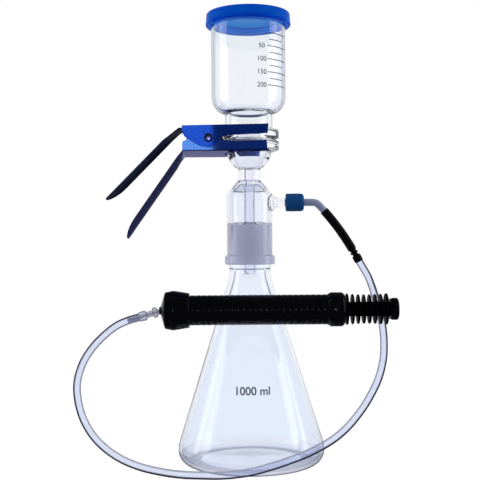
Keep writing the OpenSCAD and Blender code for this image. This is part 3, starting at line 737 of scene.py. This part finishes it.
SEAT_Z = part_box("filter_base")[1].z / MM
SHELL_R, SHELL_WALL, SHELL_TOP_Z = 21.8, 2.0, 253.5
BASE_SHOULDER_R, BASE_SHOULDER_END = 11.0, 54
BEAD_R = 24.0
SOCKET_GAP = 0.02      # between the ground faces
STEM_R, STEM_FOOT_Z, STEM_TOP_Z, STEM_FILLET = 10.7, 270.4, 280.6, 1.5
ROOF = [(9.5, 266.3), (7, 266.7)]         # underside of the shell's top, round the drip tube
DRIP_R, DRIP_BORE_R = 5.3, 4.1
DRIP_TOP_Z, DRIP_BORE_TOP_Z, DRIP_TIP_Z = 265.3, 281.4, 180.0
DRIP_SLANT = 35        # of its ground-off tip, in degrees
BOWL_R, BOWL_Z, BOWL_WALL = 21.5, 300.0, 2.5
CUP_R, CUP_FOOT_Z = 17.3, 292.2
FLANGE_R, FLANGE_CHAMFER_R, FLANGE_RIM_Z, FLANGE_EDGE = 28.8, 25.0, 299.4, 1.8
FLANGE_ROUND = 1       # rounding of both flanges' edges
SLOPE_FOOT = (STEM_R + 1.2, STEM_FOOT_Z - 1.6)    # of the stem's foot, as (radius, height)
FRIT_R, FRIT_T = 19.0, 4.2
SIDE_ARM_Z, SIDE_ARM_R, SIDE_ARM_BORE_R = 248.9, 4.0, 2.6
SIDE_ARM_X = 19.84     # where the arm starts, inside the shell's wall
BORE_START_X = 14      # where its bore starts, in the shell's hollow
STUB_R, STUB_X, STUB_END_X = 6.2, 35.4, 46.5
THREAD_R, THREAD_SLOPE, THREAD_CREST, THREAD_STARTS = 6.9, 0.4, 0.8, (38, 41)


def cut(mesh, tool, operation):
    """One solid joined to another or cut by it, as a new mesh of the base's glass that keeps both
    meshes' material numbers."""
    base, other = (bpy.data.objects.new("solid", data) for data in (mesh, tool))
    for solid in (base, other):
        scene.collection.objects.link(solid)
        if not solid.data.materials:
            for material in BASE_GLASS:
                solid.data.materials.append(material)
    step = base.modifiers.new("cut", "BOOLEAN")
    step.operation, step.object, step.solver = operation, other, "EXACT"
    made = evaluated_mesh(base)
    for solid in (base, other):
        bpy.data.objects.remove(solid)
    return made


def base_shoulder(depth):
    """The rounding between stem and shell, at a depth below the outer face."""
    centre_r, radius = SHELL_R - BASE_SHOULDER_R, BASE_SHOULDER_R - depth
    return arc(centre_r, SHELL_TOP_Z, radius, BASE_SHOULDER_END, 0, 16)


def filter_base_mesh():
    """Socket, shell, stem, bowl and flange with the drip tube inside, as one turned outline."""
    bore = [(DRIP_BORE_R, DRIP_TIP_Z), (DRIP_BORE_R, DRIP_BORE_TOP_Z)]
    bowl_inside = BOWL_R - BOWL_WALL
    cup = arc(0, BOWL_Z, bowl_inside, -77.5, 10 - degrees(asin(CUP_R / bowl_inside)), 16)
    cup += [(CUP_R, CUP_FOOT_Z), (CUP_R, SEAT_Z - FRIT_T), (FRIT_R, SEAT_Z - FRIT_T)]
    outside = [(FRIT_R, SEAT_Z), (FLANGE_CHAMFER_R, SEAT_Z)]
    rim_r = FLANGE_R - FLANGE_ROUND
    outside += arc(rim_r, SEAT_Z - FLANGE_EDGE - 0.6, FLANGE_ROUND, 65, 0, 8)
    outside += arc(rim_r, FLANGE_RIM_Z + 0.8, FLANGE_ROUND, 0, -80, 8)
    outside += arc(0, BOWL_Z, BOWL_R, -9, -56, 24)
    outside += arc(STEM_R + STEM_FILLET, STEM_TOP_Z, STEM_FILLET, 150, 180, 4)
    outside += [(STEM_R, STEM_FOOT_Z)]
    shell = base_shoulder(0) + [(SHELL_R, BEAD_Z + 9.6)]
    shell += arc(BEAD_R - 1.4, BEAD_Z + 7.7, 1.4, 90, 0, 8)
    shell += arc(BEAD_R - 1.8, BEAD_Z + 1.8, 1.8, 0, -90, 8)
    socket = [(ground_cone_r(BEAD_Z) + SOCKET_GAP, BEAD_Z)]
    hollow = [(ground_cone_r(JOINT_TOP_Z) + SOCKET_GAP, JOINT_TOP_Z)]
    hollow += [(SHELL_R - SHELL_WALL, JOINT_TOP_Z + 2)] + base_shoulder(SHELL_WALL)[::-1]
    roof = [hollow.pop()] + ROOF
    tube = [(DRIP_R, DRIP_TOP_Z), (DRIP_R, DRIP_TIP_Z)]
    return lathe_mesh("filter_base", [
        (bore, BORE), (cup, WALL), (outside, OUTER), ([SLOPE_FOOT], SHOULDER), (shell, OUTER),
        (socket, GROUND), (hollow, WALL), (roof, SHOULDER), (tube, TUBE),
    ])


def side_arm_mesh():
    """The flared root, tube and threaded stub of the side arm, solid, as (radius, x) points."""
    flare = [
        (9, SIDE_ARM_X), (8.4, 21.9), (6.8, 23), (5.2, 24.8), (4.2, 27),
        (SIDE_ARM_R, 29), (SIDE_ARM_R, 34),
    ]
    flare = [(p.x, p.y) for p in smooth_path([Vector((r, x, 0)) for r, x in flare], 4)]
    stub = [(STUB_R, STUB_X)]
    for start in THREAD_STARTS:
        crest = start + THREAD_SLOPE
        crest_end = crest + THREAD_CREST
        stub += [(STUB_R, start), (THREAD_R, crest)]
        stub += [(THREAD_R, crest_end), (STUB_R, crest_end + THREAD_SLOPE)]
    stub += [(STUB_R, STUB_END_X - 0.5), (STUB_R - 0.5, STUB_END_X), (0, STUB_END_X)]
    outline = [(0, SIDE_ARM_X)] + flare + stub
    return lathe_mesh("side_arm", [(outline, ARM)], 96, SIDE_ARM_Z)


def side_arm_bore_mesh():
    """What is hollow in the side arm: its blown root and its bore, as (radius, x) points."""
    outline = [
        (0, BORE_START_X), (7.1, BORE_START_X), (7.1, 20.2), (6.2, 21.4), (4.8, 22.6),
        (3.6, 24.4), (2.8, 26.6), (SIDE_ARM_BORE_R, 28.5), (SIDE_ARM_BORE_R, STUB_END_X + 4),
        (0, STUB_END_X + 4),
    ]
    return lathe_mesh("bore", [(outline, ARM)], 64, SIDE_ARM_Z)


def add_filter_base():
    """The filter base, one piece of blown glass, with its drip tube's tip ground off at a slant."""
    mesh = cut(filter_base_mesh(), side_arm_mesh(), "UNION")
    mesh = cut(mesh, side_arm_bore_mesh(), "DIFFERENCE")
    tip_z = (DRIP_TIP_Z + 0.01) * MM
    for vertex in mesh.vertices:
        if vertex.co.z < tip_z and vertex.co.x < 0:
            vertex.co.z -= vertex.co.x * tan(radians(DRIP_SLANT))
    base = add_object("filter_base_glass", mesh, "stand", [])
    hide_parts("filter_base")


add_filter_base()


# ---- Funnel ----

FUNNEL_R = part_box("funnel")[1].x / MM
FUNNEL_FOOT_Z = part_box("funnel")[0].z / MM
FUNNEL_TOP_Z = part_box("funnel")[1].z / MM
FUNNEL_WALL, OUTLET_R = 2.0, 18.3
FUNNEL_NECK_R, FUNNEL_FLANGE_TOP_Z = 22.7, 318.3
NECK_EDGE_Z, OUTLET_EDGE_Z = 333.0, 334.8   # where the shoulder's outside and inside start
SHOULDER_Z, SHOULDER_R, SHOULDER_H = 351.0, 22.4, 16.8


def add_funnel():
    """The funnel, one piece of glass with a flange."""
    lip = FUNNEL_WALL / 2
    outside = [(OUTLET_R, FUNNEL_FOOT_Z), (FLANGE_CHAMFER_R, FUNNEL_FOOT_Z)]
    rim_r = FLANGE_R - FLANGE_ROUND
    outside += arc(rim_r, FUNNEL_FOOT_Z + FLANGE_EDGE + 0.6, FLANGE_ROUND, -65, 0, 8)
    outside += arc(FLANGE_R - 1.4, FUNNEL_FLANGE_TOP_Z - 1.4, 1.4, 0, 90, 8)
    outside += arc(FUNNEL_NECK_R + 1.8, FUNNEL_FLANGE_TOP_Z + 1.8, 1.8, 270, 180, 8)
    outside += arc(FUNNEL_NECK_R + 1, NECK_EDGE_Z, 1, 180, 120, 6)
    outside += arc(SHOULDER_R, SHOULDER_Z, FUNNEL_R - SHOULDER_R, -80, 0, 24, SHOULDER_H)
    outside += arc(FUNNEL_R - lip, FUNNEL_TOP_Z - lip, lip, 0, 180, 12)
    width, depth = FUNNEL_R - FUNNEL_WALL - SHOULDER_R, SHOULDER_H - FUNNEL_WALL
    hollow = arc(SHOULDER_R, SHOULDER_Z, width, 0, -88, 24, depth)
    hollow += arc(OUTLET_R + 1.2, OUTLET_EDGE_Z, 1.2, 110, 180, 6)
    mesh = lathe_mesh("funnel_glass", [(outside, OUTER), (hollow, WALL)])
    funnel = add_object("funnel_glass", mesh, "stand", FUNNEL_GLASS)
    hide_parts("funnel")


add_funnel()


# ---- Lid ----

LID_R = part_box("lid")[1].x / MM
LID_FOOT_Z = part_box("lid")[0].z / MM
LID_TOP_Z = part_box("lid")[1].z / MM
LID_PLATE_Z = 423.0    # underside of the plate
PLUG_BORE_R, PLUG_R, SKIRT_BORE_R = 28.5, 33.2, 36.1
PLUG_EDGE = 0.8        # rounding of the plug's inner edges
# Material numbers: the plug's stretch is painted lighter, and the corner's is a painted shade line.
SKIN, PLUG, CORNER = range(3)
LID_PLASTICS = [lid_plastic, plug_plastic_painted_light, lid_corner_painted_shade]


def add_lid():
    """The lid, moulded in one piece: a skirt over the funnel's rim and a hollow plug inside it. Its
    plug and the plug's inner corner take lit and shaded copies of the one plastic, as painted light
    and painted shade.
    """
    plate = [(0, LID_PLATE_Z)]
    corner = arc(PLUG_BORE_R - PLUG_EDGE, LID_PLATE_Z - PLUG_EDGE, PLUG_EDGE, 90, 0, 6)
    plug = [corner.pop()]
    plug += arc(PLUG_BORE_R + PLUG_EDGE, LID_FOOT_Z + PLUG_EDGE, PLUG_EDGE, 180, 270, 6)
    plug += arc(PLUG_R - 1, LID_FOOT_Z + 1, 1, -90, 0, 6)
    skirt = [(PLUG_R, LID_PLATE_Z), (SKIRT_BORE_R, LID_PLATE_Z)]
    skirt += [(SKIRT_BORE_R, LID_FOOT_Z + 0.4), (SKIRT_BORE_R + 0.4, LID_FOOT_Z)]
    skirt += arc(LID_R - 1.6, LID_FOOT_Z + 1.6, 1.6, -90, 0, 10)
    skirt += arc(LID_R - 2.6, LID_TOP_Z - 2, 2, 5, 90, 12) + [(0, LID_TOP_Z)]
    stretches = [(plate, PLUG), (corner, CORNER), (plug, PLUG), (skirt, SKIN)]
    mesh = lathe_mesh("lid_moulding", stretches)
    lid = add_object("lid_moulding", mesh, "lid", LID_PLASTICS)
    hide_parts("lid")


add_lid()


# ---- Prints ----

FONT_SIZE = 1.42       # a font's size for each millimetre of a digit's height
INK_T, INK_GAP = 0.03, 0.05
SCALE_TOP_Z, SCALE_STEP = 405.2, 6.06
SCALE_ANGLE, CAPACITY_ANGLE = -70, -89    # about Z, in degrees
VOLUMES = ((2, "50"), (4, "100"), (6, "150"), (8, "200"))   # the mark's number, and its words
VOLUME_H, CAPACITY_H, CAPACITY_Z = 4.5, 7.2, 76.0
VOLUME_WEIGHT, CAPACITY_WEIGHT = 0.03, 0.2                  # how much bolder than the font


def add_print(name, words, height, angle, z, surface_r, ink, weight):
    """Words printed on a round surface, centred at an angle about Z and a height."""
    curve = bpy.data.curves.new(name, "FONT")
    curve.body = words
    curve.size = height * FONT_SIZE
    curve.align_x = "CENTER"
    curve.extrude = INK_T
    curve.offset = weight
    source = bpy.data.objects.new(name, curve)
    scene.collection.objects.link(source)
    mesh = evaluated_mesh(source)
    bpy.data.objects.remove(source)
    mesh.name = name
    mesh.materials.clear()
    for vertex in mesh.vertices:
        across, up, out = vertex.co
        level = z - height / 2 + up
        radius = surface_r(level) + INK_GAP + out
        turn = radians(angle) + across / surface_r(level)
        vertex.co = Vector((radius * cos(turn), radius * sin(turn), level)) * MM
    add_object(name, mesh, "stand", [ink])


for mark, volume in VOLUMES:
    mark_z = SCALE_TOP_Z - mark * SCALE_STEP
    add_print(
        "scale_" + volume, volume, VOLUME_H, SCALE_ANGLE, mark_z, lambda z: FUNNEL_R,
        print_ink, VOLUME_WEIGHT,
    )
add_print(
    "capacity", "1000 ml", CAPACITY_H, CAPACITY_ANGLE, CAPACITY_Z, flask_r,
    flask_ink, CAPACITY_WEIGHT,
)


# ---- CAD nodes, each with its material and the width of its rounded edges ----

for node, node_material, edge_width in (
    ("frit_disc", sinter, 0.1),
    ("membrane_filter", membrane, 0),
    ("graduation_marks", print_ink, 0),
    ("clamp_upper_lever", upper_anodised_painted_shade, 0.6),
    ("clamp_lower_lever", lower_anodised_painted_light, 0.6),
    ("clamp_pin", dark_steel, 1),
    ("pin_washers", washer_plastic, 0.2),
    ("clamp_spring", steel, 0),
    ("screw_cap", petrol_plastic, 0.3),
    ("cap_seal", silicone, 0.1),
    ("elbow_nozzle", nozzle_plastic, 0),
    ("rubber_sleeve", black_rubber, 0.3),
    ("hose_coupler", black_rubber, 0.2),
    ("barb_connector", fitting_plastic, 0.1),
    ("luer_hub", fitting_plastic, 0.1),
    ("pump_nose_cap", pump_plastic, 0.3),
    ("pump_barrel", pump_plastic, 0.3),
    ("pump_collar", pump_plastic, 0.3),
    ("grip_knob", pump_plastic, 0.3),
    ("pump_grip", grip_plastic, 0.3),
    ("inlet_valve", silicone, 0.1),
    ("rod_bush", grey_plastic, 0.2),
    ("piston_rod", steel, 0.2),
    ("piston_head", grey_plastic, 0.2),
    ("piston_seal", black_rubber, 0),
):
    dress(node, node_material, edge_width)


# ---- Floor and world ----

FLOOR_HALF = 40        # in metres
FLOOR_SEEN, FLOOR_LIGHTING = (0.9, 0.9, 0.92), (0.3, 0.31, 0.35)
BACKDROP_FROM_Y = 0.2, 0.6    # in metres, behind the flask
BACKDROP_IN_MIRRORS = 0.45    # how white the floor behind the object is in mirrors
FLOOR_GLOW, GLOW_SHARE = 1.12, 0.85
AHEAD = -0.3, 0.1             # directions' Y from the camera's side of the room to the backdrop
CEILING = 0.35, 0.5           # directions' Z from the backdrop's top to the ceiling
FILL, ROOM, WHITE = 0.5, 0.17, 1.0        # strengths of the world's lights


def seen_ray(tree):
    """1 for rays from the camera or through glass, and 0 for the rest, as an output."""
    return larger(tree, is_ray(tree, "Camera"), is_ray(tree, "Transmission"))


def add_floor():
    """A floor that is white where it is seen, with a pale shadow, and darker where it lights or
    mirrors in the object, as a studio's floor is. Mirrors see it paler behind the object."""
    half = FLOOR_HALF
    corners = [(-half, -half, 0), (half, -half, 0), (half, half, 0), (-half, half, 0)]
    mesh = bpy.data.meshes.new("floor")
    mesh.from_pydata(corners, [], [(0, 1, 2, 3)])
    floor = bpy.data.objects.new("floor", mesh)
    scene.collection.objects.link(floor)
    material, shader = new_material("floor", FLOOR_SEEN, 0.9)
    tree = material.node_tree
    place = add_node(tree, "ShaderNodeNewGeometry").outputs["Position"]
    behind = remap(tree, part_of(tree, place, "Y"), *BACKDROP_FROM_Y)
    mirrored = multiply(tree, behind, is_ray(tree, "Glossy"))
    mirrored = multiply(tree, mirrored, BACKDROP_IN_MIRRORS)
    seen = larger(tree, seen_ray(tree), mirrored)
    feed(shader, "Base Color", blend_colours(tree, seen, FLOOR_LIGHTING, FLOOR_SEEN))
    glow = {"Color": (1, 1, 1, 1), "Strength": FLOOR_GLOW}
    white = add_node(tree, "ShaderNodeEmission", glow).outputs[0]
    share = multiply(tree, seen, GLOW_SHARE)
    show(material, mix_shaders(tree, share, shader.outputs[0], white))
    mesh.materials.append(material)


def background(tree, tint, strength):
    """A plain light from all round, as an output."""
    inputs = {"Color": (*tint, 1), "Strength": strength}
    return add_node(tree, "ShaderNodeBackground", inputs).outputs[0]


def add_world():
    """White where it is seen, and in mirrors that face the backdrop. The object's fill is softer,
    and the room on the camera's side is dim in mirrors."""
    world = bpy.data.worlds.new("world")
    scene.world = world
    world.use_nodes = True
    tree = world.node_tree
    tree.nodes.clear()
    soft = background(tree, (0.95, 0.97, 1), FILL)
    dim = background(tree, (0.9, 0.94, 1), ROOM)
    white = background(tree, (1, 1, 1), WHITE)
    direction = add_node(tree, "ShaderNodeTexCoord").outputs["Generated"]
    ahead = remap(tree, part_of(tree, direction, "Y"), *AHEAD)
    below_ceiling = remap(tree, part_of(tree, direction, "Z"), *CEILING, 1, 0)
    mirrored = mix_shaders(tree, multiply(tree, ahead, below_ceiling), dim, white)
    lighting = mix_shaders(tree, is_ray(tree, "Glossy"), soft, mirrored)
    output = add_node(tree, "ShaderNodeOutputWorld")
    tree.links.new(mix_shaders(tree, seen_ray(tree), lighting, white), output.inputs["Surface"])


add_floor()
add_world()


# ---- Lamps ----

SIDE_BOXES = ("left_box", -900), ("right_box", 900)     # name and X
SIDE_BOX_Y, SIDE_BOX_Z, SIDE_BOX_SIZE = -80, 550, (480, 1500)
HIGHLIGHT_Y = -930     # the highlights' boxes stand just behind the camera
PUMP = ["pump_nose_cap", "pump_barrel", "pump_collar"]


def add_lamp(name, place, target, size, radiance):
    """A soft box in millimetres that faces the target, with the radiance of its face."""
    lamp = bpy.data.lights.new(name, "AREA")
    lamp.shape = "RECTANGLE"
    lamp.size, lamp.size_y = size[0] * MM, size[1] * MM
    lamp.energy = radiance * pi * lamp.size * lamp.size_y
    box = bpy.data.objects.new(name, lamp)
    scene.collection.objects.link(box)
    box.location = Vector(place) * MM
    aim = Vector(target) - Vector(place)
    box.rotation_euler = aim.to_track_quat("-Z", "Y").to_euler()
    return box


def add_highlight(name, pieces, x, z, size, radiance, colour=(1, 1, 1)):
    """A soft box beside the camera that lights only the named pieces, for what they mirror."""
    box = add_lamp(name, (x, HIGHLIGHT_Y, z), (x, 0, z), size, radiance)
    box.data.color = colour
    lit = bpy.data.collections.new(name)
    for piece in pieces:
        lit.objects.link(bpy.data.objects[piece])
    box.light_linking.receiver_collection = lit


for box_name, box_x in SIDE_BOXES:
    box_place = (box_x, SIDE_BOX_Y, SIDE_BOX_Z)
    add_lamp(box_name, box_place, (0, 0, SIDE_BOX_Z), SIDE_BOX_SIZE, radiance=1.6)
add_highlight("clamp_box", ["clamp_upper_lever"], -260, 455, (400, 160), 0.85)
add_highlight(
    "clamp_low_box", ["clamp_lower_lever"], -260, 380, (400, 120), 3.3, (1, 0.76, 0.33)
)
add_highlight("pin_window", ["clamp_pin"], -67, 411, (3, 6), 120.0)
add_highlight("lid_window", ["lid_moulding"], -110, 645, (24, 70), 40.0)
for window_x in (-92, -68):
    add_highlight("pump_window", PUMP, window_x, 200, (14, 60), 120.0)
add_highlight("grip_window", ["pump_grip"], 235, 200, (110, 40), 60.0)
